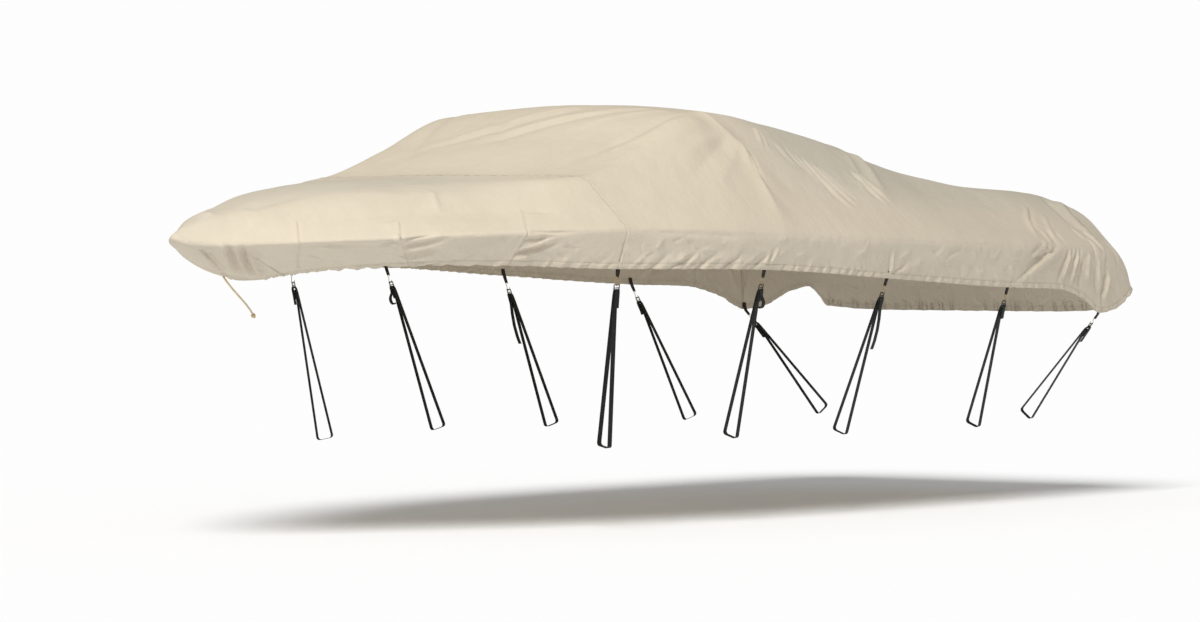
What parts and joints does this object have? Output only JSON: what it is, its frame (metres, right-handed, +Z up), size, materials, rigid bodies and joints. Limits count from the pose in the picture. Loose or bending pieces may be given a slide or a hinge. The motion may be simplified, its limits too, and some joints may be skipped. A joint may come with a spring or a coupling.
{
  "type": "boat cover",
  "caption": "Fitted canvas cover for an open motor boat, hollow, shaped over windscreen and seats, with sewn loops, hooks and tie-down straps.",
  "frame": {"origin": "under the cloth at the highest point of the cover's top, on the centre line", "axes": "+X towards the stern along the cover's length, +Y to starboard, +Z up"},
  "size_m": [6.4985, 2.349, 1.5732],
  "materials": {
    "canvas": "matt woven cotton and polyester canvas, tan",
    "tab_webbing": "matt woven webbing, dark brown",
    "hook_wire": "yellow-plated steel wire",
    "buckle_steel": "black enamel, slightly worn",
    "strap_webbing": "black polypropylene webbing with a slight sheen",
    "rope": "cream braided rope"
  },
  "bodies": {
    "root": {"front_panel": "canvas", "body_panel": "canvas", "stern_panel": "canvas", "tab_port_1": "tab_webbing", "tab_starboard_1": "tab_webbing", "tab_port_2": "tab_webbing", "tab_starboard_2": "tab_webbing", "tab_port_3": "tab_webbing", "tab_starboard_3": "tab_webbing", "tab_port_4": "tab_webbing", "tab_starboard_4": "tab_webbing", "tab_port_5": "tab_webbing", "tab_starboard_5": "tab_webbing", "hook_port_1": "hook_wire", "hook_starboard_1": "hook_wire", "hook_port_2": "hook_wire", "hook_starboard_2": "hook_wire", "hook_port_3": "hook_wire", "hook_starboard_3": "hook_wire", "hook_port_4": "hook_wire", "hook_starboard_4": "hook_wire", "hook_port_5": "hook_wire", "hook_starboard_5": "hook_wire", "buckle_port_1": "buckle_steel", "buckle_starboard_1": "buckle_steel", "buckle_port_2": "buckle_steel", "buckle_starboard_2": "buckle_steel", "buckle_port_3": "buckle_steel", "buckle_starboard_3": "buckle_steel", "buckle_port_4": "buckle_steel", "buckle_starboard_4": "buckle_steel", "buckle_port_5": "buckle_steel", "buckle_starboard_5": "buckle_steel", "strap_port_1": "strap_webbing", "strap_starboard_1": "strap_webbing", "strap_port_2": "strap_webbing", "strap_starboard_2": "strap_webbing", "strap_port_3": "strap_webbing", "strap_starboard_3": "strap_webbing", "strap_port_4": "strap_webbing", "strap_starboard_4": "strap_webbing", "strap_port_5": "strap_webbing", "strap_starboard_5": "strap_webbing", "bow_rope": "rope"}
  },
  "joints": []
}
